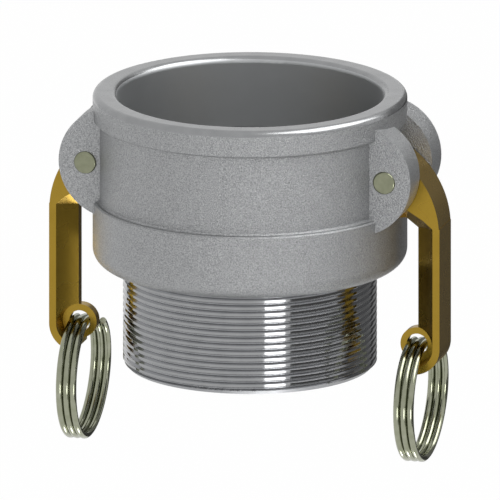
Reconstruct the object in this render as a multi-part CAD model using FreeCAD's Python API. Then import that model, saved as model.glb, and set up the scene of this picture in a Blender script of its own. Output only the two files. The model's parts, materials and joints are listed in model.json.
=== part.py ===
import FreeCAD, Part
import math
import os

Vector = FreeCAD.Vector

# Quick coupler for a 3 inch hose line: a socket closed by two cam arms, on a male pipe thread.
# Millimetres and degrees. The origin is on the axis at the end of the thread, +Z runs up to the
# mouth of the socket and +X through the right cam arm. The arms are shut and hang beside the body.

# Threaded spigot, drawn as a plain cylinder at the major diameter of a parallel 3 inch pipe thread
thread_major_d = 87.884
thread_length = 36.3
thread_end_chamfer = 1.5
waterway_d = 76.2

# Outside of the body, turned about the axis
body_height = 97.0
band_d = 108.9
waist_d = 105.0
rim_band_height = 9.5
lower_band_height = 22.9
shoulder_radius = 5.5
band_edge_chamfer = 0.5
waist_fillet = 0.8
rim_rounding = 2.1

# Socket: a guiding bore, a shallow relief level with the cams and an undercut that keeps the gasket
socket_bore_d = 92.2
relief_depth = 0.6
relief_over_nose = 0.2
relief_under_nose = 5.2
gasket_ledge_thickness = 6.7
gasket_thickness = 6.35
gasket_undercut = 1.6
gasket_radial_clearance = 0.25
gasket_axial_clearance = 0.35

# Pivot pins, one across each pair of ears
pin_d = 8.0
pin_x = 53.5
pin_z = 73.2
pin_proud = 0.6
pin_end_rounding = 0.7
pin_seat_clearance = 0.01
pin_running_clearance = 0.06

# Ears in pairs, with the slot for the arm between them
ear_radius = 19.8
ear_x = 43.2
ear_z = 73.5
ear_thickness = 12.4
slot_width = 16.6
lintel_clearance = 0.6
nose_sweep_clearance = 0.4
stop_clearance = 0.2

# Cam arm: head with its nose, measured with the arm shut
arm_side_clearance = 0.4
arm_open_angle = 105.0
pin_boss_wall = 1.9
nose_radius = 6.5
nose_depth = 5.5
nose_drop = 7.5
back_radius = 32.7
back_step = 0.2
head_foot_z = 54.2

# Cam arm: hollows under the sides of the head, with the keel that the web becomes between them
hollow_steep_run = 3.4
hollow_steep_slope = 0.85
hollow_run = 7.0
hollow_slope = 0.6
hollow_run_out_slope = -1.2
hollow_side_slope = 1.0
keel_run = 4.1
keel_slope = 0.9

# Cam arm: handle of tee section that ends in a round eye for the ring
handle_outer_x = 69.9
handle_side_step = 0.2
flange_thickness = 2.5
tee_depth = 9.1
web_thickness = 4.0
flank_hollow = 0.25
wrap_radius = 9.5
eye_drop = 62.0
lobe_radius = 6.0
pocket_edge = 0.1
wrap_end_fillet = 0.8

# Pull ring: round wire wound in three touching turns and hung in the eye
ring_mean_radius = 20.4
wire_d = 2.4
turn_gap = 0.04
ring_turns = 3
ring_lift = 0.2
eye_clearance = 0.1
wire_start_angle = 78.0
wire_end_cut = 20.0

# Places that follow from the sizes above
band_radius = band_d / 2
waist_radius = waist_d / 2
bore_radius = socket_bore_d / 2
waterway_radius = waterway_d / 2
thread_radius = thread_major_d / 2
pin_radius = pin_d / 2
lower_band_top = thread_length + lower_band_height
rim_band_bottom = body_height - rim_band_height
gasket_ledge_z = thread_length + gasket_ledge_thickness
gasket_outer_radius = bore_radius + gasket_undercut - gasket_radial_clearance
ear_outer_y = slot_width / 2 + ear_thickness
head_width = slot_width - 2 * arm_side_clearance
handle_width = head_width - 2 * handle_side_step
pin_boss_radius = pin_radius + pin_boss_wall
nose_x = bore_radius - nose_depth + nose_radius
nose_z = pin_z - nose_drop
relief_top = nose_z + nose_radius + relief_over_nose
relief_bottom = nose_z - nose_radius - relief_under_nose
eye_x = handle_outer_x - wrap_radius
eye_z = pin_z - eye_drop
web_tip_x = handle_outer_x - tee_depth
flange_inner_x = handle_outer_x - flange_thickness
pitch = wire_d + turn_gap
wire_radius = wire_d / 2
outer_strand_x = pitch * (ring_turns - 1) / 2
eye_radius = math.hypot(outer_strand_x, ring_lift) + wire_radius + eye_clearance
ring_centre_z = eye_z + ring_lift - ring_mean_radius
hollow_steep_x = flange_inner_x - hollow_steep_run
hollow_steep_z = head_foot_z + hollow_steep_slope * hollow_steep_run
hollow_end_x = hollow_steep_x - hollow_run
hollow_end_z = hollow_steep_z + hollow_slope * hollow_run

# How far the cutting tools run past what they cut
overrun = 1.0


def turned(outline):
    """The solid of revolution about Z of a closed outline of (radius, z) points and arc midpoints.

    Each entry is (radius, z), or (radius, z, mid_radius, mid_z) where an arc through the middle
    point leads to it from the entry before.
    """
    edges = []
    start = Vector(outline[0][0], 0, outline[0][1])
    for entry in outline[1:] + outline[:1]:
        end = Vector(entry[0], 0, entry[1])
        if len(entry) == 4:
            edges.append(Part.Arc(start, Vector(entry[2], 0, entry[3]), end).toShape())
        else:
            edges.append(Part.makeLine(start, end))
        start = end
    face = Part.Face(Part.Wire(edges))
    return face.revolve(Vector(0, 0, 0), Vector(0, 0, 1), 360)


def arc_middle(centre, radius, angle):
    """The point (radius, z) of a small arc about a centre, at an angle from the horizontal."""
    return (
        centre[0] + radius * math.cos(math.radians(angle)),
        centre[1] + radius * math.sin(math.radians(angle)),
    )


def across(radius, x, z, y_from, y_to):
    """A round bar along Y."""
    return Part.makeCylinder(radius, y_to - y_from, Vector(x, y_from, z), Vector(0, 1, 0))


def plate(points, half_width):
    """A flat plate with an outline of (x, z) points, centred on Y = 0."""
    corners = [Vector(x, -half_width, z) for x, z in points]
    face = Part.Face(Part.makePolygon(corners + corners[:1]))
    return face.extrude(Vector(0, 2 * half_width, 0))


def round_edge_at(shape, x, z, radius):
    """Round the edge that runs along Y through (x, z)."""
    found = [
        edge
        for edge in shape.Edges
        if abs(edge.CenterOfMass.x - x) < 0.05
        and abs(edge.CenterOfMass.z - z) < 0.05
        and edge.BoundBox.YLength > wire_d
    ]
    return shape.makeFillet(radius, found)


def outer_body():
    """The outside of the body as one solid, before the socket is bored."""
    chamfer = thread_end_chamfer
    shoulder_r = band_radius - shoulder_radius
    shoulder_centre = (shoulder_r, thread_length + shoulder_radius)
    shoulder_mid = arc_middle(shoulder_centre, shoulder_radius, -45)
    low_r = waist_radius + waist_fillet
    low_mid = arc_middle((low_r, lower_band_top + waist_fillet), waist_fillet, -135)
    high_mid = arc_middle((low_r, rim_band_bottom - waist_fillet), waist_fillet, 135)
    rim_r = band_radius - rim_rounding
    rim_mid = arc_middle((rim_r, body_height - rim_rounding), rim_rounding, 45)
    return turned(
        [
            (0, 0),
            (thread_radius - chamfer, 0),
            (thread_radius, chamfer),
            (thread_radius, thread_length),
            (shoulder_r, thread_length),
            (band_radius, shoulder_centre[1], *shoulder_mid),
            (band_radius, lower_band_top - band_edge_chamfer),
            (band_radius - band_edge_chamfer, lower_band_top),
            (low_r, lower_band_top),
            (waist_radius, lower_band_top + waist_fillet, *low_mid),
            (waist_radius, rim_band_bottom - waist_fillet),
            (low_r, rim_band_bottom, *high_mid),
            (band_radius - band_edge_chamfer, rim_band_bottom),
            (band_radius, rim_band_bottom + band_edge_chamfer),
            (band_radius, body_height - rim_rounding),
            (rim_r, body_height, *rim_mid),
            (0, body_height),
        ]
    )


def socket_and_waterway():
    """Everything that is bored out of the body along its axis."""
    undercut_r = bore_radius + gasket_undercut
    undercut_top = gasket_ledge_z + gasket_thickness + gasket_axial_clearance
    relief_r = bore_radius + relief_depth
    mouth_r = bore_radius + rim_rounding
    mouth_mid = arc_middle((mouth_r, body_height - rim_rounding), rim_rounding, 135)
    return turned(
        [
            (0, -overrun),
            (waterway_radius, -overrun),
            (waterway_radius, gasket_ledge_z),
            (undercut_r, gasket_ledge_z),
            (undercut_r, undercut_top),
            (bore_radius, undercut_top),
            (bore_radius, relief_bottom),
            (relief_r, relief_bottom + relief_depth),
            (relief_r, relief_top - relief_depth),
            (bore_radius, relief_top),
            (bore_radius, body_height - rim_rounding),
            (mouth_r, body_height, *mouth_mid),
            (mouth_r, body_height + overrun),
            (0, body_height + overrun),
        ]
    )


def back_arc_centre():
    """Centre of the arc down the back of the head: tangent round the pin boss, and through its foot."""
    foot_x = handle_outer_x - back_step - pin_x
    foot_z = head_foot_z - pin_z
    span = math.hypot(foot_x, foot_z)
    to_pin = back_radius - pin_boss_radius
    along = (to_pin**2 - back_radius**2 + span**2) / (2 * span)
    aside = math.sqrt(to_pin**2 - along**2)
    x = pin_x + (along * foot_x + aside * foot_z) / span
    z = pin_z + (along * foot_z - aside * foot_x) / span
    return x, z


def arm_window():
    """The opening in the wall between the right ears, through which the cam nose swings."""
    half = slot_width / 2
    lintel_z = pin_z + pin_boss_radius + lintel_clearance
    nose_reach = math.hypot(nose_x - pin_x, nose_drop) + nose_radius
    sweep = across(nose_reach + nose_sweep_clearance, pin_x, pin_z, -half, half)
    below_lintel = Part.makeBox(
        nose_reach + band_radius,
        slot_width,
        lintel_z,
        Vector(pin_x - 2 * nose_reach, -half, 0),
    )
    opened = back_arc_centre()
    turn = math.radians(arm_open_angle)
    from_pin_x = opened[0] - pin_x
    from_pin_z = opened[1] - pin_z
    stop_x = pin_x + from_pin_x * math.cos(turn) - from_pin_z * math.sin(turn)
    stop_z = pin_z + from_pin_x * math.sin(turn) + from_pin_z * math.cos(turn)
    stop = across(back_radius + stop_clearance, stop_x, stop_z, -half, half)
    beside_lintel = Part.makeBox(
        band_radius,
        slot_width,
        rim_band_bottom - pin_z,
        Vector(bore_radius, -half, pin_z),
    )
    return sweep.common(below_lintel).fuse(stop.common(beside_lintel))


def coupler_body():
    """The cast body: spigot, shoulder, socket with its rim, and two pairs of ears."""
    body = outer_body()
    ears = []
    for side in (-1, 1):
        for y_from in (-ear_outer_y, slot_width / 2):
            ears.append(across(ear_radius, side * ear_x, ear_z, y_from, y_from + ear_thickness))
    body = body.fuse(ears)
    window = arm_window()
    seat_radius = pin_radius + pin_seat_clearance
    reach = ear_outer_y + overrun
    tools = [socket_and_waterway(), window, half_turned(window)]
    for side in (-1, 1):
        tools.append(across(seat_radius, side * pin_x, pin_z, -reach, reach))
    return body.cut(tools).removeSplitter()


def half_turned(shape):
    """A copy of a shape on the other side of the axis."""
    copy = shape.copy()
    copy.rotate(Vector(0, 0, 0), Vector(0, 0, 1), 180)
    return copy


def face_gasket():
    """The flat ring that the mating adapter presses on, loose in its undercut."""
    ring = Part.makeCylinder(gasket_outer_radius, gasket_thickness, Vector(0, 0, gasket_ledge_z))
    hole = Part.makeCylinder(waterway_radius, gasket_thickness, Vector(0, 0, gasket_ledge_z))
    return ring.cut(hole)


def pivot_pin():
    """The right pivot pin, rounded at both ends."""
    end_y = ear_outer_y + pin_proud
    pin = across(pin_radius, pin_x, pin_z, -end_y, end_y)
    rims = [edge for edge in pin.Edges if isinstance(edge.Curve, Part.Circle)]
    return pin.makeFillet(pin_end_rounding, rims)


def arm_head():
    """The full width head: boss round the pin, cam nose, arched back and underside."""
    half = head_width / 2
    foot_x = handle_outer_x - back_step
    centre_x, centre_z = back_arc_centre()
    toward_x = (pin_x - centre_x) / (back_radius - pin_boss_radius)
    toward_z = (pin_z - centre_z) / (back_radius - pin_boss_radius)
    crown = (centre_x + back_radius * toward_x, centre_z + back_radius * toward_z)
    keel_foot_z = (
        hollow_steep_z
        + hollow_slope * (hollow_steep_x - web_tip_x)
        - hollow_side_slope * (half - web_thickness / 2)
    )
    block = plate(
        [
            crown,
            (foot_x, head_foot_z),
            (web_tip_x, head_foot_z),
            (web_tip_x, keel_foot_z),
            (web_tip_x - keel_run, keel_foot_z + keel_slope * keel_run),
            (nose_x, nose_z - nose_radius),
            (nose_x, nose_z),
            (pin_x, pin_z),
        ],
        half,
    )
    back = across(back_radius, centre_x, centre_z, -half, half)
    bulge = plate([crown, (foot_x, crown[1]), (foot_x, head_foot_z)], half)
    boss = across(pin_boss_radius, pin_x, pin_z, -half, half)
    nose = across(nose_radius, nose_x, nose_z, -half, half)
    return block.fuse([bulge.common(back), boss, nose]).removeSplitter()


def arm_handle():
    """The handle at full width down to its eye, with the flange wrapped a quarter turn below it."""
    half = handle_width / 2
    bar = plate(
        [
            (web_tip_x, eye_z),
            (handle_outer_x, eye_z),
            (handle_outer_x, head_foot_z),
            (web_tip_x, head_foot_z),
        ],
        half,
    )
    wrap = across(wrap_radius, eye_x, eye_z, -half, half)
    quarter = plate(
        [
            (eye_x, eye_z),
            (eye_x + wrap_radius, eye_z),
            (eye_x + wrap_radius, eye_z - wrap_radius),
            (eye_x, eye_z - wrap_radius),
        ],
        half,
    )
    wrap = round_edge_at(wrap.common(quarter), eye_x, eye_z - wrap_radius, wrap_end_fillet)
    lobe = across(lobe_radius, eye_x, eye_z, -half, half)
    return bar.fuse([wrap, lobe]).removeSplitter()


def above_slope(side, x, z, slope):
    """All that lies above a plane that rises inwards and outwards from a point on the head's side."""
    upward = Vector(slope, -side * hollow_side_slope, 1)
    box = Part.makeBox(eye_drop, eye_drop, eye_drop, Vector(-eye_drop / 2, -eye_drop / 2, 0))
    foot = Vector(x, side * head_width / 2, z)
    box.Placement = FreeCAD.Placement(foot, FreeCAD.Rotation(Vector(0, 0, 1), upward))
    return box


def flank_recess(side):
    """The hollow down one side of the handle, from the eye up to its sloping end under the head."""
    half_web = web_thickness / 2
    half = handle_width / 2
    reach_y = head_width / 2 + overrun
    inner = Vector(web_tip_x, side * half_web, eye_z)
    outer = Vector(flange_inner_x, side * half, eye_z)
    chord = outer - inner
    inward = Vector(chord.y, -chord.x, 0).normalize() * side
    middle = (inner + outer) * 0.5 + inward * flank_hollow
    corners = [
        outer,
        Vector(flange_inner_x, side * reach_y, eye_z),
        Vector(nose_x, side * reach_y, eye_z),
        Vector(nose_x, side * half_web, eye_z),
        inner,
    ]
    edges = [Part.Arc(inner, middle, outer).toShape()]
    for start, end in zip(corners, corners[1:]):
        edges.append(Part.makeLine(start, end))
    prism = Part.Face(Part.Wire(edges)).extrude(Vector(0, 0, eye_drop))
    return prism.cut(
        [
            above_slope(side, flange_inner_x, head_foot_z, hollow_steep_slope),
            above_slope(side, hollow_steep_x, hollow_steep_z, hollow_slope),
            above_slope(side, hollow_end_x, hollow_end_z, hollow_run_out_slope),
        ]
    )


def eye_pocket(side):
    """The tapered pocket that thins the eye to the web on one side."""
    half_web = web_thickness / 2
    half = handle_width / 2
    floor_radius = lobe_radius + pocket_edge
    rim_radius = wrap_radius - flange_thickness
    growth = (rim_radius - floor_radius) / (half - half_web)
    depth = half - half_web + overrun
    return Part.makeCone(
        floor_radius,
        floor_radius + growth * depth,
        depth,
        Vector(eye_x, side * half_web, eye_z),
        Vector(0, side, 0),
    )


def cam_arm():
    """The right cam arm in one piece."""
    arm = arm_head().fuse(arm_handle())
    half = head_width / 2 + overrun
    tools = [
        across(pin_radius + pin_running_clearance, pin_x, pin_z, -half, half),
        across(eye_radius, eye_x, eye_z, -half, half),
    ]
    for side in (-1, 1):
        tools.append(flank_recess(side))
        tools.append(eye_pocket(side))
    return arm.cut(tools).removeSplitter()


def ring_point(x, angle):
    """A point on the ring's mean circle, at an angle from +Y towards +Z."""
    turn = math.radians(angle)
    return Vector(
        x,
        ring_mean_radius * math.cos(turn),
        ring_centre_z + ring_mean_radius * math.sin(turn),
    )


def pull_ring(eye_at_x):
    """One ring: flat half turns through the eye, and leaning half turns that step to the next."""
    first = wire_start_angle
    second = wire_start_angle + 180
    pieces = []
    for turn in range(ring_turns):
        x = eye_at_x + pitch * (turn - (ring_turns - 1) / 2)
        start = ring_point(x, first)
        tangent = Vector(0, -math.sin(math.radians(first)), math.cos(math.radians(first)))
        centre = Vector(x, 0, ring_centre_z)
        section = Part.Face(Part.Wire(Part.makeCircle(wire_radius, start, tangent)))
        pieces.append(section.revolve(centre, Vector(1, 0, 0), 180))
        low = ring_point(x, second)
        chord = ring_point(x + pitch, first) - low
        back = tangent * -1
        section = Part.Face(Part.Wire(Part.makeCircle(wire_radius, low, back)))
        sweep = 180 - (wire_end_cut if turn == ring_turns - 1 else 0)
        pieces.append(section.revolve(low + chord * 0.5, back.cross(chord).normalize(), sweep))
    return pieces[0].fuse(pieces[1:]).removeSplitter()


def export(name, shape):
    """Check one piece and write it to its own file."""
    if not shape.isValid() or len(shape.Solids) != 1:
        raise ValueError(f"{name} is not one valid solid")
    shape.Solids[0].exportStep(f"parts/{name}.step")
    print(f"{name}: {shape.Volume / 1000:.2f} cm3, {len(shape.Faces)} faces")


def main():
    """Build every piece and write it out."""
    os.makedirs("parts", exist_ok=True)
    arm = cam_arm()
    pin = pivot_pin()
    export("coupler_body", coupler_body())
    export("face_gasket", face_gasket())
    export("right_cam_arm", arm)
    export("left_cam_arm", half_turned(arm))
    export("right_pivot_pin", pin)
    export("left_pivot_pin", half_turned(pin))
    export("right_pull_ring", pull_ring(eye_x))
    export("left_pull_ring", pull_ring(-eye_x))


main()
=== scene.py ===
"""Looks of a cam lever quick coupler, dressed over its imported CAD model.

Everything is in metres in the frame of the model: the origin lies on the axis at the end of the
pipe thread, +Z runs up to the mouth of the socket and +X through the right cam arm.
"""

import json
import logging
import math
from dataclasses import dataclass
from enum import Enum, IntEnum

import bpy
import numpy as np
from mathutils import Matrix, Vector

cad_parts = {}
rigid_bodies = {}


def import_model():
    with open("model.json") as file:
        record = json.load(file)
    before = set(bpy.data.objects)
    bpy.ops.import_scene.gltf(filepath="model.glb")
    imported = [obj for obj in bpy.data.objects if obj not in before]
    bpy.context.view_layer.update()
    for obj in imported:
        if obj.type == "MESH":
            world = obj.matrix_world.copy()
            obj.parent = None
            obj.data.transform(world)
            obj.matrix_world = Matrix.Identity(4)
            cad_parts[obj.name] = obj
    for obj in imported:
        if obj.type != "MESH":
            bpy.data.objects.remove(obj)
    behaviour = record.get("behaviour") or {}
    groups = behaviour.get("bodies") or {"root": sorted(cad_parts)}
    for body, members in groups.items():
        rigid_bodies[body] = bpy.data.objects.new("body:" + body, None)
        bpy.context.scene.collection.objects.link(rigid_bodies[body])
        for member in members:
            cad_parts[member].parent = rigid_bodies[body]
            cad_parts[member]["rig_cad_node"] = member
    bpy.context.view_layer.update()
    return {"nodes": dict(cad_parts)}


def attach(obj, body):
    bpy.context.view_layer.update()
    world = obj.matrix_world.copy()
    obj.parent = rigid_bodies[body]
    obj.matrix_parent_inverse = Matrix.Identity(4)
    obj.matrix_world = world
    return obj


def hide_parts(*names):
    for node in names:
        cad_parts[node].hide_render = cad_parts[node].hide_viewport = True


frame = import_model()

LOG = logging.getLogger("coupler")

Colour = tuple[float, float, float]

# Corner attribute that carries a CAD node's exact normals through cuts.
CAD_NORMAL = "cad_normal"
# Most of a noise texture's values lie between these two.
NOISE_LOW = 0.3
NOISE_HIGH = 0.7
# A wave texture of scale 1 turns through this many radians in a metre.
WAVE_RADIANS = 20.0


class Carrier(str, Enum):
    """The bodies of the model that its pieces move with."""

    BASE = "base"
    RIGHT_ARM = "right_arm"
    LEFT_ARM = "left_arm"
    RIGHT_RING = "right_ring"
    LEFT_RING = "left_ring"


class Slot(str, Enum):
    """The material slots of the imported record."""

    ALUMINIUM = "cast_aluminium"
    RUBBER = "black_rubber"
    BRASS = "arm_brass"
    PIN = "pin_steel"
    WIRE = "ring_steel"


class Zone(IntEnum):
    """The parts of the body that differ in finish, which are its faces' material indices; in the
    bore and the grooves the colour also carries painted light.
    """

    CAST = 0
    RIM = 1
    BORE = 2
    CREST = 3
    GROOVE = 4
    END = 5


class Nodes:
    """The node tree of one new material, with short calls that add nodes and join them."""

    def __init__(self, name: str) -> None:
        """Start a material that has only its output.

        Args:
            name: The material's name.
        """
        self.material = bpy.data.materials.new(name)
        self.material.use_nodes = True
        self.tree = self.material.node_tree
        self.tree.nodes.clear()
        self.output = self.add("ShaderNodeOutputMaterial")

    def add(self, kind: str, **values: object) -> bpy.types.Node:
        """Add a node.

        Args:
            kind: The node's type.
            values: Settings of the node, or default values of its inputs by name with
                underscores for spaces.

        Returns:
            The new node.
        """
        node = self.tree.nodes.new(kind)
        for name, value in values.items():
            if hasattr(node, name):
                setattr(node, name, value)
            else:
                node.inputs[name.replace("_", " ")].default_value = value
        return node

    def join(self, source: bpy.types.NodeSocket, target: bpy.types.NodeSocket) -> None:
        """Link an output to an input."""
        self.tree.links.new(source, target)

    def show(self, shader: bpy.types.Node) -> None:
        """Make a shader the one that the surface shows."""
        self.join(shader.outputs[0], self.output.inputs["Surface"])


class Finish(Nodes):
    """A surface whose colour, roughness and height come from textures on object coordinates."""

    def __init__(self, name: str, metallic: float) -> None:
        """Start the surface.

        Args:
            name: The material's name.
            metallic: 1 for metal and 0 for anything else.
        """
        super().__init__(name)
        self.surface = self.add("ShaderNodeBsdfPrincipled", Metallic=metallic)
        self.place = self.add("ShaderNodeTexCoord").outputs["Object"]
        self.show(self.surface)

    def noise(self, size: float, detail: float, crispness: float = 0.5) -> bpy.types.NodeSocket:
        """Noise on object coordinates.

        Args:
            size: Size of one blotch, in metres.
            detail: Number of finer layers.
            crispness: Strength of the finer layers.

        Returns:
            The value output, from 0 to 1.
        """
        node = self.add("ShaderNodeTexNoise", Scale=1 / size, Detail=detail, Roughness=crispness)
        self.join(self.place, node.inputs["Vector"])
        return node.outputs["Fac"]

    def colour(self, value: bpy.types.NodeSocket, dark: Colour, light: Colour) -> None:
        """Let a noise drive the colour.

        Args:
            value: The noise.
            dark: Colour at its low values.
            light: Colour at its high values.
        """
        ramp = self.add("ShaderNodeValToRGB")
        low, high = ramp.color_ramp.elements
        low.position = NOISE_LOW
        high.position = NOISE_HIGH
        low.color = (*dark, 1.0)
        high.color = (*light, 1.0)
        self.join(value, ramp.inputs["Fac"])
        self.join(ramp.outputs["Color"], self.surface.inputs["Base Color"])

    def roughness(self, value: bpy.types.NodeSocket, at_low: float, at_high: float) -> None:
        """Let a noise drive the roughness.

        Args:
            value: The noise.
            at_low: Roughness at its low values.
            at_high: Roughness at its high values.
        """
        node = self.add(
            "ShaderNodeMapRange",
            From_Min=NOISE_LOW,
            From_Max=NOISE_HIGH,
            To_Min=at_low,
            To_Max=at_high,
        )
        self.join(value, node.inputs["Value"])
        self.join(node.outputs["Result"], self.surface.inputs["Roughness"])

    def bump(self, height: bpy.types.NodeSocket, distance: float) -> None:
        """Raise the surface by a height from 0 to 1.

        Args:
            height: The height map.
            distance: Real height of 1, in metres.
        """
        node = self.add("ShaderNodeBump", Distance=distance, Strength=1.0)
        self.join(height, node.inputs["Height"])
        self.join(node.outputs["Normal"], self.surface.inputs["Normal"])


@dataclass(frozen=True)
class BlastedCasting:
    """Aluminium casting, bead blasted to a fine bright grain."""

    dark: Colour = (0.22, 0.225, 0.23)
    light: Colour = (0.425, 0.43, 0.435)
    smoothest: float = 0.28
    roughest: float = 0.5
    grain: float = 0.00042
    crispness: float = 0.6
    height: float = 0.00035

    def material(self) -> bpy.types.Material:
        """Grain in the colour, the roughness and the height: high spots are bright and smooth.

        Returns:
            The material.
        """
        finish = Finish("blasted_casting", metallic=1.0)
        grain = finish.noise(self.grain, detail=2.0, crispness=self.crispness)
        finish.colour(grain, self.dark, self.light)
        finish.roughness(grain, self.roughest, self.smoothest)
        finish.bump(grain, self.height)
        return finish.material


@dataclass(frozen=True)
class TurnedAluminium:
    """Aluminium left from the lathe, with fine rings round the axis, one feed apart."""

    name: str
    dark: Colour
    light: Colour
    smoothest: float
    roughest: float
    mark_height: float = 0.0000015
    feed: float = 0.00056577
    mark_waver: float = 0.4
    blotch: float = 0.006
    patch: float = 0.004

    def material(self) -> bpy.types.Material:
        """Tool marks by height, with a little noise in the colour and the roughness.

        Returns:
            The material.
        """
        finish = Finish(self.name, metallic=1.0)
        marks = finish.add(
            "ShaderNodeTexWave",
            wave_type="BANDS",
            bands_direction="Z",
            Scale=2 * math.pi / WAVE_RADIANS / self.feed,
            Distortion=self.mark_waver,
            Detail=1.0,
        )
        finish.join(finish.place, marks.inputs["Vector"])
        finish.colour(finish.noise(self.blotch, detail=3.0), self.dark, self.light)
        finish.roughness(finish.noise(self.patch, detail=3.0), self.smoothest, self.roughest)
        finish.bump(marks.outputs["Fac"], self.mark_height)
        return finish.material


@dataclass(frozen=True)
class DullBrass:
    """Cast and barrelled brass, smooth with a dull polish."""

    dark: Colour = (0.31, 0.20, 0.028)
    light: Colour = (0.335, 0.217, 0.032)
    smoothest: float = 0.27
    roughest: float = 0.28
    blotch: float = 0.005
    patch: float = 0.008
    dent: float = 0.002
    dent_height: float = 0.000006

    def material(self) -> bpy.types.Material:
        """Slow changes of colour and polish, with faint dents from the barrel.

        Returns:
            The material.
        """
        finish = Finish("dull_brass", metallic=1.0)
        finish.colour(finish.noise(self.blotch, detail=4.0), self.dark, self.light)
        finish.roughness(finish.noise(self.patch, detail=1.0), self.smoothest, self.roughest)
        finish.bump(finish.noise(self.dent, detail=1.0), self.dent_height)
        return finish.material


@dataclass(frozen=True)
class BrightSteel:
    """Plated steel with a faint drawn or turned texture."""

    name: str
    dark: Colour
    light: Colour
    smoothest: float
    roughest: float
    blotch: float
    texture_height: float = 0.000003

    def material(self) -> bpy.types.Material:
        """Faint blotches in the colour, half as wide ones in the polish and fine ones in height.

        Returns:
            The material.
        """
        finish = Finish(self.name, metallic=1.0)
        finish.colour(finish.noise(self.blotch, detail=3.0), self.dark, self.light)
        finish.roughness(finish.noise(self.blotch / 2, detail=3.0), self.smoothest, self.roughest)
        finish.bump(finish.noise(self.blotch / 6, detail=2.0), self.texture_height)
        return finish.material


TURNED_PIN = BrightSteel(
    "turned_pin",
    (0.21, 0.22, 0.15),
    (0.25, 0.26, 0.18),
    smoothest=0.08,
    roughest=0.13,
    blotch=0.002,
)
DRAWN_WIRE = BrightSteel(
    "drawn_wire",
    (0.27, 0.285, 0.20),
    (0.34, 0.35, 0.27),
    smoothest=0.11,
    roughest=0.16,
    blotch=0.003,
)


@dataclass(frozen=True)
class BlackRubber:
    """Moulded black rubber, matt."""

    dark: Colour = (0.012, 0.012, 0.012)
    light: Colour = (0.024, 0.024, 0.023)
    smoothest: float = 0.55
    roughest: float = 0.75
    bloom: float = 0.006
    patch: float = 0.002
    grain: float = 0.0004
    grain_height: float = 0.00001

    def material(self) -> bpy.types.Material:
        """Matt black with a fine moulded grain and a little bloom.

        Returns:
            The material.
        """
        finish = Finish("black_rubber", metallic=0.0)
        finish.colour(finish.noise(self.bloom, detail=4.0), self.dark, self.light)
        finish.roughness(finish.noise(self.patch, detail=3.0), self.smoothest, self.roughest)
        finish.bump(finish.noise(self.grain, detail=2.0), self.grain_height)
        return finish.material


ZONE_FINISH = {
    Zone.CAST: BlastedCasting(),
    Zone.RIM: TurnedAluminium(
        "turned_rim", (0.28, 0.285, 0.29), (0.32, 0.325, 0.33), smoothest=0.22, roughest=0.28
    ),
    # The socket wall is lighter than the rim: painted light that lifts the shade inside the
    # socket.
    Zone.BORE: TurnedAluminium(
        "bored_socket_painted_light", (0.41, 0.42, 0.425), (0.42, 0.43, 0.435), smoothest=0.4517, roughest=0.4617
    ),
    Zone.CREST: TurnedAluminium(
        "thread_crests",
        (0.285, 0.29, 0.295),
        (0.32, 0.325, 0.33),
        smoothest=0.05,
        roughest=0.11,
        mark_height=0.0000002,
    ),
    # The grooves are much lighter than the crests of the same cut: painted light that lifts the
    # shade between the crests.
    Zone.GROOVE: TurnedAluminium(
        "thread_grooves_painted_light",
        (0.44, 0.445, 0.455),
        (0.48, 0.485, 0.495),
        smoothest=0.08,
        roughest=0.14,
        mark_height=0.0000002,
    ),
    Zone.END: TurnedAluminium(
        "turned_end", (0.26, 0.265, 0.275), (0.30, 0.305, 0.315), smoothest=0.38, roughest=0.44
    ),
}


def add_object(name: str, data: bpy.types.ID) -> bpy.types.Object:
    """Put a mesh, a lamp or a camera into the scene.

    Args:
        name: Name of the object.
        data: What it shows.

    Returns:
        The new object, at the origin.
    """
    made = bpy.data.objects.new(name, data)
    bpy.context.scene.collection.objects.link(made)
    return made


def keep_normals(mesh: bpy.types.Mesh, normal: np.ndarray) -> None:
    """Keep normals in a corner attribute, which cuts carry on.

    Args:
        mesh: The mesh.
        normal: A normal per corner, or zeros where there is none.
    """
    kept = mesh.attributes.new(CAD_NORMAL, "FLOAT_VECTOR", "CORNER")
    kept.data.foreach_set("vector", normal.ravel())


def merged_copy(node: str, name: str, weld: float = 1e-6) -> bpy.types.Object:
    """A copy of a CAD node with its loose triangles joined into one closed mesh.

    The node's exact normals go along.

    Args:
        node: The CAD node.
        name: Name of the new piece.
        weld: Largest distance between points that become one, in metres.

    Returns:
        The new object, at the origin.
    """
    mesh = frame["nodes"][node].data.copy()
    mesh.name = name
    normal = np.empty(len(mesh.loops) * 3, np.float32)
    mesh.corner_normals.foreach_get("vector", normal)
    keep_normals(mesh, normal)
    mesh.materials.clear()
    piece = add_object(name, mesh)
    weld_points = piece.modifiers.new("weld", "WELD")
    weld_points.merge_threshold = weld
    return apply_modifiers(piece)


def apply_modifiers(piece: bpy.types.Object) -> bpy.types.Object:
    """Keep a piece's shape as its modifiers leave it, and remove them.

    Args:
        piece: The object.

    Returns:
        The same object with its new mesh.
    """
    graph = bpy.context.evaluated_depsgraph_get()
    made = bpy.data.meshes.new_from_object(
        piece.evaluated_get(graph), preserve_all_data_layers=True, depsgraph=graph
    )
    made.name = piece.name
    old = piece.data
    piece.modifiers.clear()
    piece.data = made
    bpy.data.meshes.remove(old)
    return piece


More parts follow.
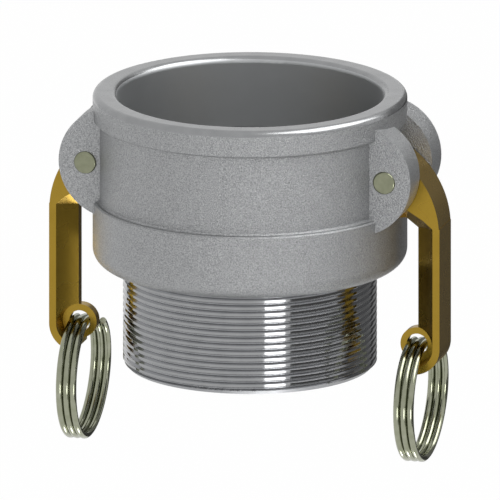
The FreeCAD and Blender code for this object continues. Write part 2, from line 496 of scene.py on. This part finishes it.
def smooth_shading(piece: bpy.types.Object, sharp_from: float) -> None:
    """Shade a merged copy with its kept normals, and smooth where a cut has made new faces.

    The new faces have no normal kept, and meet sharply at edges at or over an angle.

    Args:
        piece: The object.
        sharp_from: The angle, in degrees.
    """
    mesh = piece.data
    mesh.polygons.foreach_set("use_smooth", np.ones(len(mesh.polygons), bool))
    mesh.set_sharp_from_angle(angle=math.radians(sharp_from))
    worked_out = np.empty(len(mesh.loops) * 3, np.float32)
    mesh.corner_normals.foreach_get("vector", worked_out)
    kept = np.empty_like(worked_out)
    mesh.attributes[CAD_NORMAL].data.foreach_get("vector", kept)
    kept = kept.reshape(-1, 3)
    length = np.linalg.norm(kept, axis=1, keepdims=True)
    present = length > 0.5
    normal = np.where(present, kept / np.where(present, length, 1), worked_out.reshape(-1, 3))
    mesh.attributes.remove(mesh.attributes[CAD_NORMAL])
    mesh.normals_split_custom_set(normal)
    mesh.update()


def dress(
    piece: bpy.types.Object, carrier: Carrier, materials: list[bpy.types.Material]
) -> None:
    """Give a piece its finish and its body.

    Args:
        piece: The object.
        carrier: The body that it rides on.
        materials: Its materials, in the order of its face indices.
    """
    piece.data.materials.clear()
    for material in materials:
        piece.data.materials.append(material)
    if "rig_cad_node" not in piece:
        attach(piece, carrier.value)
    LOG.info("%s: %d faces on %s", piece.name, len(piece.data.polygons), carrier.value)


@dataclass(frozen=True)
class PipeThread:
    """Parallel 3 inch pipe thread of 11 turns to the inch, at 55 degrees with flattened crests.

    Lengths are in metres, sizes of the thread form in pitches and angles in degrees. The helix
    rises by one pitch a turn, and its last groove runs out behind, under the shoulder.
    """

    major_radius: float = 0.043942
    pitch: float = 0.0254 / 11
    flank_angle: float = 62.5
    half_crest: float = 0.17
    crest_rounding: float = 0.04
    root_rounding: float = 0.05
    phase: float = 0.81
    start_angle: float = 80.0
    first_groove: int = -2
    last_groove: int = 13
    end_share: float = 0.98
    run_out: float = 0.16
    skin: float = 0.000012
    top: float = 0.03625
    outside: float = 0.0462
    columns: int = 144

    def profile(self) -> tuple[np.ndarray, np.ndarray, np.ndarray]:
        """One pitch of the thread form, from just over one root to the next, in pitches.

        From the middle of the crest upwards: flat for half_crest, an arc of radius a that turns
        to the flank's angle at (a sin t, a (1 - cos t)), a straight flank, and an arc of radius
        b that turns back to the root at half a pitch. Below the crest it is the mirror image.

        Returns:
            Height from the middle of the crest, depth, and slope of the depth, one per row.
        """
        steep = math.radians(self.flank_angle)
        turn = np.array([0, steep / 2, steep])
        crest_height = self.half_crest + self.crest_rounding * np.sin(turn)
        crest_depth = self.crest_rounding * (1 - np.cos(turn))
        root_height = 0.5 - self.root_rounding * np.sin(turn[::-1])
        flank = (root_height[0] - crest_height[-1]) * math.tan(steep)
        full = crest_depth[-1] + flank + self.root_rounding * (1 - math.cos(steep))
        root_depth = full - self.root_rounding * (1 - np.cos(turn[::-1]))
        height = np.concatenate([crest_height, root_height])
        depth = np.concatenate([crest_depth, root_depth])
        slope = np.tan(np.concatenate([turn, turn[::-1]]))
        below = slice(-2, None, -1)
        return (
            np.concatenate([-height[below], height]),
            np.concatenate([depth[below], depth]),
            np.concatenate([-slope[below], slope]),
        )

    def cutter(self) -> bpy.types.Object:
        """The ring of metal that the die takes away, as a closed solid.

        Row i at angle t from the start lies at height z = p (h + t / 2 pi), with p the pitch and
        h the row's height in pitches, at radius R - s - f p d, with R the major radius, s a thin
        skin, d the row's depth and f a fade to nothing at the end of the last groove. It depends
        on g + t / 2 pi, the way along the helix, with g the number of the row's groove. The outer
        wall is plain.

        Returns:
            The cutter's object.
        """
        height, depth, slope = self.profile()
        rows_a_turn = height.size
        turns = np.arange(self.first_groove, math.ceil(self.top / self.pitch))
        level = (turns[:, None] + self.phase + height[None, :]).ravel()
        kept = level < self.top / self.pitch - 1
        level = level[kept][:, None]
        depth = np.tile(depth, turns.size)[kept][:, None]
        slope = np.tile(slope, turns.size)[kept][:, None]
        groove = (turns[:, None] - (height[None, :] < 0)).ravel()[kept][:, None]
        share = np.linspace(0, 1, self.columns, endpoint=False)[None, :]
        turn = 2 * math.pi * share + math.radians(self.start_angle)
        z = self.pitch * (level + share)
        left = self.last_groove + self.end_share - groove - share
        fade = np.clip(left / self.run_out, 0, 1)
        radius = self.major_radius - self.skin - self.pitch * depth * fade
        lean = slope * fade
        swirl = -lean * self.pitch / (2 * math.pi * radius)
        across = np.cos(turn)
        along = np.sin(turn)
        points = np.stack([radius * across, radius * along, z], -1)
        normal = np.stack([across - swirl * along, along + swirl * across, lean], -1)
        normal /= np.linalg.norm(normal, axis=-1, keepdims=True)
        wall = points[[0, -1]].copy()
        wall[..., 0] = self.outside * across
        wall[..., 1] = self.outside * along
        return helical_ring("thread_cutter", points, normal, wall, rows_a_turn)


def helical_ring(
    name: str, points: np.ndarray, normal: np.ndarray, wall: np.ndarray, rows_a_turn: int
) -> bpy.types.Object:
    """A closed ring in triangles, with a helical grid inside and a plain wall outside.

    The last column of row i joins the first column of row i + rows_a_turn. At both ends, fans
    close the step that this leaves at the seam. The inner faces keep the normals given.

    Args:
        name: Name of the object.
        points: Inner grid, rows x columns x 3, in metres.
        normal: Its normals, which point out of the part that is cut.
        wall: The outer wall's bottom and top rows, 2 x columns x 3.
        rows_a_turn: Rows of the grid that one turn climbs.

    Returns:
        The new object, at the origin.
    """
    rows, columns = points.shape[:2]
    index = np.arange(rows * columns).reshape(rows, columns)
    ring = rows * columns + np.arange(2 * columns).reshape(2, columns)
    beside = np.roll(index, -1, 1)
    beside[:, -1] = np.append(index[rows_a_turn:, 0], np.full(rows_a_turn, -1))
    this, over = index[:-1], index[1:]
    next_one, next_over = beside[:-1], beside[1:]
    inner = np.concatenate(
        [np.stack([this, over, next_over], -1), np.stack([this, next_over, next_one], -1)]
    ).reshape(-1, 3)
    inner = inner[(inner >= 0).all(1)]
    outer = quads(ring[0], np.roll(ring[0], -1), ring[1], np.roll(ring[1], -1))
    foot = quads(ring[0, :-1], ring[0, 1:], index[0, :-1], index[0, 1:])[:, ::-1]
    head = quads(ring[1, :-1], ring[1, 1:], index[-1, :-1], index[-1, 1:])
    foot_path = np.concatenate([[ring[0, -1], index[0, -1]], index[rows_a_turn::-1, 0]])
    top_rows = index[: -rows_a_turn - 2 : -1, -1]
    head_path = np.concatenate([top_rows, [index[-1, 0], ring[1, 0]]])
    ends = [foot, head, fan(foot_path, ring[0, 0]), fan(head_path, ring[1, -1])]
    faces = np.concatenate([inner, outer, *ends])
    mesh = bpy.data.meshes.new(name)
    mesh.from_pydata(np.concatenate([points.reshape(-1, 3), wall.reshape(-1, 3)]), [], faces)
    kept = np.zeros((faces.size, 3), np.float32)
    kept[: inner.size] = normal.reshape(-1, 3)[inner.ravel()]
    keep_normals(mesh, kept)
    mesh.update()
    return add_object(name, mesh)


def quads(
    low: np.ndarray, low_next: np.ndarray, high: np.ndarray, high_next: np.ndarray
) -> np.ndarray:
    """Two triangles for each quad between a low and a high row of points, seen from outside."""
    return np.concatenate(
        [np.stack([low, low_next, high_next], -1), np.stack([low, high_next, high], -1)]
    )


def fan(path: np.ndarray, hub: int) -> np.ndarray:
    """A triangle from each step of a path of points to one more point."""
    return np.stack([path[:-1], path[1:], np.full(path.size - 1, hub)], -1)


@dataclass(frozen=True)
class CouplerBody:
    """The cast body: its thread is cut here, and each zone gets the finish it has from the shop,
    while the bore and the grooves also get a lighter colour that is painted light.

    The radii and levels, in metres, lie between the rows of faces that differ in zone.
    """

    thread: PipeThread = PipeThread()
    sharp_from: float = 75.0
    rim_level: float = 0.0949
    mouth_radius: float = 0.04643
    bored_radius: float = 0.0481
    shoulder_level: float = 0.0363
    spigot_radius: float = 0.0442
    crest_radius: float = 0.04375
    end_chamfer: float = 0.0015

    def build(self) -> None:
        """Cut the thread into a copy of the CAD body and dress it."""
        piece = merged_copy("coupler_body", "body_casting")
        cutter = self.thread.cutter()
        cut = piece.modifiers.new("thread", "BOOLEAN")
        cut.operation = "DIFFERENCE"
        cut.solver = "EXACT"
        cut.object = cutter
        apply_modifiers(piece)
        bpy.data.objects.remove(cutter)
        smooth_shading(piece, self.sharp_from)
        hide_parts("coupler_body")
        finishes = [ZONE_FINISH[zone].material() for zone in Zone]
        dress(piece, Carrier.BASE, finishes)
        self.mark_zones(piece.data)

    def mark_zones(self, mesh: bpy.types.Mesh) -> None:
        """Give each face the index of its zone, from its centre.

        The waterway below the shoulder goes with the grooves, since both are machined, and takes
        their lighter colour, which is painted light that lifts the shade in these hollows.

        Args:
            mesh: The body's mesh.
        """
        count = len(mesh.polygons)
        centre = np.empty((count, 3), np.float32)
        mesh.polygons.foreach_get("center", centre.ravel())
        normal = np.empty((count, 3), np.float32)
        mesh.polygons.foreach_get("normal", normal.ravel())
        radius = np.hypot(centre[:, 0], centre[:, 1])
        level = centre[:, 2]
        inward = (normal[:, :2] * centre[:, :2]).sum(1) < 0
        above = level > self.shoulder_level
        below = level < self.shoulder_level
        zone = np.full(count, Zone.CAST, np.int32)
        zone[(radius < self.bored_radius) & inward & above] = Zone.BORE
        zone[(level > self.rim_level) & (radius > self.mouth_radius)] = Zone.RIM
        zone[(radius < self.spigot_radius) & below] = Zone.CREST
        zone[(radius < self.crest_radius) & below] = Zone.GROOVE
        zone[level < self.end_chamfer] = Zone.END
        mesh.polygons.foreach_set("material_index", zone)


@dataclass(frozen=True)
class CamLever:
    """One lever with its pivot pin and pull ring, which keep the model's own meshes."""

    side: str
    arm_carrier: Carrier
    ring_carrier: Carrier
    brass: bpy.types.Material
    pin: bpy.types.Material
    wire: bpy.types.Material

    def build(self) -> None:
        """Give the arm, the pin and the ring their finishes."""
        nodes = frame["nodes"]
        dress(nodes[self.side + "_cam_arm"], self.arm_carrier, [self.brass])
        dress(nodes[self.side + "_pivot_pin"], Carrier.BASE, [self.pin])
        dress(nodes[self.side + "_pull_ring"], self.ring_carrier, [self.wire])


@dataclass(frozen=True)
class FaceSeal:
    """The flat rubber ring at the bottom of the socket."""

    rubber: BlackRubber = BlackRubber()

    def build(self) -> None:
        """Give the gasket its finish."""
        seal = frame["nodes"]["face_gasket"]
        dress(seal, Carrier.BASE, [self.rubber.material()])


@dataclass(frozen=True)
class Lamp:
    """A soft rectangular lamp that faces the object.

    Its place is in degrees to the right of the camera and above the horizon, its distance and
    size are in metres, and a radiance of 1 is white.
    """

    name: str
    aside: float
    above: float
    away: float
    width: float
    height: float
    radiance: float


@dataclass(frozen=True)
class Card:
    """A dark bent card beside the object, outside every view, which the metal mirrors.

    Its sides are in degrees to the right of the camera, its levels and radius in metres, and a
    radiance of 1 is white.
    """

    left: float
    right: float
    low: float
    high: float
    radiance: float
    away: float = 0.8
    columns: int = 49

    def mesh(self, azimuth: float) -> bpy.types.Mesh:
        """Part of a cylinder: the point at angle a and height h is (r sin a, -r cos a, h).

        Args:
            azimuth: The camera's direction round the axis, in degrees.

        Returns:
            The card's mesh, with its material.
        """
        turn = np.radians(np.linspace(azimuth + self.left, azimuth + self.right, self.columns))
        arc = np.stack([self.away * np.sin(turn), -self.away * np.cos(turn)], -1)
        rows = [np.insert(arc, 2, level, axis=1) for level in (self.low, self.high)]
        index = np.arange(2 * self.columns).reshape(2, self.columns)
        faces = np.stack([index[0, :-1], index[0, 1:], index[1, 1:], index[1, :-1]], -1)
        mesh = bpy.data.meshes.new("dark_card")
        mesh.from_pydata(np.concatenate(rows), [], faces)
        nodes = Nodes("dark_card")
        nodes.show(nodes.add("ShaderNodeEmission", Strength=self.radiance))
        nodes.material.cycles.emission_sampling = "NONE"
        mesh.materials.append(nodes.material)
        return mesh


@dataclass(frozen=True)
class Studio:
    """Pale floor, plain soft light, dark cards and the camera of the reference view.

    Angles are in degrees, lengths in metres, and a brightness of 1 is white.
    """

    azimuth: float = 15.0
    elevation: float = 15.0
    aim: tuple[float, float, float] = (0, 0, 0.0402)
    frame_width: float = 0.17295
    camera_away: float = 1.0
    camera_reach: float = 20.0
    surroundings: float = 0.9
    floor_level: float = -0.45
    floor_reach: float = 6.0
    floor_paint: float = 0.9
    floor_glow: float = 0.97
    cards: tuple[Card, ...] = (
        Card(left=36, right=108, low=-0.42, high=-0.04, radiance=0.14),
        Card(left=108, right=142, low=-0.42, high=0.02, radiance=0.22),
        Card(left=142, right=190, low=-0.42, high=0.02, radiance=0.06),
        Card(left=116, right=164, low=0.02, high=0.58, radiance=0.25),
    )
    lamps: tuple[Lamp, ...] = (
        Lamp("strip", aside=22, above=-17, away=0.62, width=0.185, height=0.16, radiance=6.0),
        Lamp("key", aside=78, above=52, away=0.8, width=0.9, height=0.6, radiance=3.45),
        Lamp("low", aside=157.6, above=-76.2, away=0.412, width=0.1, height=0.1, radiance=7.0),
    )

    def place(self, thing: bpy.types.Object, aside: float, above: float, away: float) -> None:
        """Put a lamp or the camera at a distance from the object and face it.

        Args:
            thing: The lamp or the camera.
            aside: Degrees to the right of the camera, seen from the object's own place.
            above: Degrees above the horizon.
            away: Distance from the point aimed at, in metres.
        """
        turn = math.radians(self.azimuth + aside)
        rise = math.radians(above)
        flat = math.cos(rise)
        toward = Vector((math.sin(turn) * flat, -math.cos(turn) * flat, math.sin(rise)))
        thing.location = Vector(self.aim) + toward * away
        thing.rotation_mode = "QUATERNION"
        thing.rotation_quaternion = toward.to_track_quat("Z", "Y")

    def add_camera(self) -> None:
        """The orthographic camera of the reference view."""
        data = bpy.data.cameras.new("camera")
        data.type = "ORTHO"
        data.ortho_scale = self.frame_width
        data.clip_end = self.camera_reach
        camera = add_object("camera", data)
        self.place(camera, 0, self.elevation, self.camera_away)
        bpy.context.scene.camera = camera

    def add_lamp(self, lamp: Lamp) -> None:
        """Put up a lamp.

        Args:
            lamp: Its place, size and brightness.
        """
        data = bpy.data.lights.new(lamp.name, "AREA")
        data.shape = "RECTANGLE"
        data.size = lamp.width
        data.size_y = lamp.height
        data.energy = lamp.radiance * lamp.width * lamp.height * math.pi
        self.place(add_object(lamp.name, data), lamp.aside, lamp.above, lamp.away)

    def add_world(self) -> None:
        """Even pale surroundings."""
        world = bpy.data.worlds.new("studio")
        world.use_nodes = True
        background = world.node_tree.nodes["Background"]
        background.inputs["Color"].default_value = (1, 1, 1, 1)
        background.inputs["Strength"].default_value = self.surroundings
        bpy.context.scene.world = world

    def add_floor(self) -> None:
        """A wide pale floor, well below the hanging rings."""
        mesh = bpy.data.meshes.new("floor")
        reach = self.floor_reach
        corners = [(-reach, -reach), (reach, -reach), (reach, reach), (-reach, reach)]
        mesh.from_pydata([(x, y, self.floor_level) for x, y in corners], [], [(0, 1, 2, 3)])
        mesh.materials.append(self.floor_material())
        floor = add_object("floor", mesh)

    def floor_material(self) -> bpy.types.Material:
        """Pale paint that looks evenly white to the camera and in the metal.

        Returns:
            The material.
        """
        nodes = Nodes("pale_floor")
        paint = nodes.add("ShaderNodeBsdfDiffuse", Color=(*[self.floor_paint] * 3, 1))
        white = nodes.add("ShaderNodeEmission", Strength=1.0)
        ray = nodes.add("ShaderNodeLightPath")
        seen = ray.outputs["Is Camera Ray"]
        for kind in ("Is Glossy Ray", "Is Transmission Ray"):
            either = nodes.add("ShaderNodeMath", operation="MAXIMUM")
            nodes.join(seen, either.inputs[0])
            nodes.join(ray.outputs[kind], either.inputs[1])
            seen = either.outputs[0]
        share = nodes.add("ShaderNodeMath", operation="MULTIPLY")
        nodes.join(seen, share.inputs[0])
        share.inputs[1].default_value = self.floor_glow
        mix = nodes.add("ShaderNodeMixShader")
        nodes.join(share.outputs[0], mix.inputs["Fac"])
        nodes.join(paint.outputs[0], mix.inputs[1])
        nodes.join(white.outputs[0], mix.inputs[2])
        nodes.show(mix)
        nodes.material.cycles.emission_sampling = "NONE"
        return nodes.material

    def build(self) -> None:
        """Set up the whole studio."""
        bpy.context.scene.view_settings.view_transform = "Standard"
        self.add_camera()
        self.add_world()
        self.add_floor()
        for spec in self.cards:
            card = add_object("dark_card", spec.mesh(self.azimuth))
            card.visible_camera = False
        for lamp in self.lamps:
            self.add_lamp(lamp)


def main() -> None:
    """Build and dress every piece, then the studio."""
    logging.basicConfig(level=logging.INFO, format="%(name)s: %(message)s")
    CouplerBody().build()
    FaceSeal().build()
    brass = DullBrass().material()
    pin = TURNED_PIN.material()
    wire = DRAWN_WIRE.material()
    CamLever("right", Carrier.RIGHT_ARM, Carrier.RIGHT_RING, brass, pin, wire).build()
    CamLever("left", Carrier.LEFT_ARM, Carrier.LEFT_RING, brass, pin, wire).build()
    Studio().build()


if __name__ == "__main__":
    main()
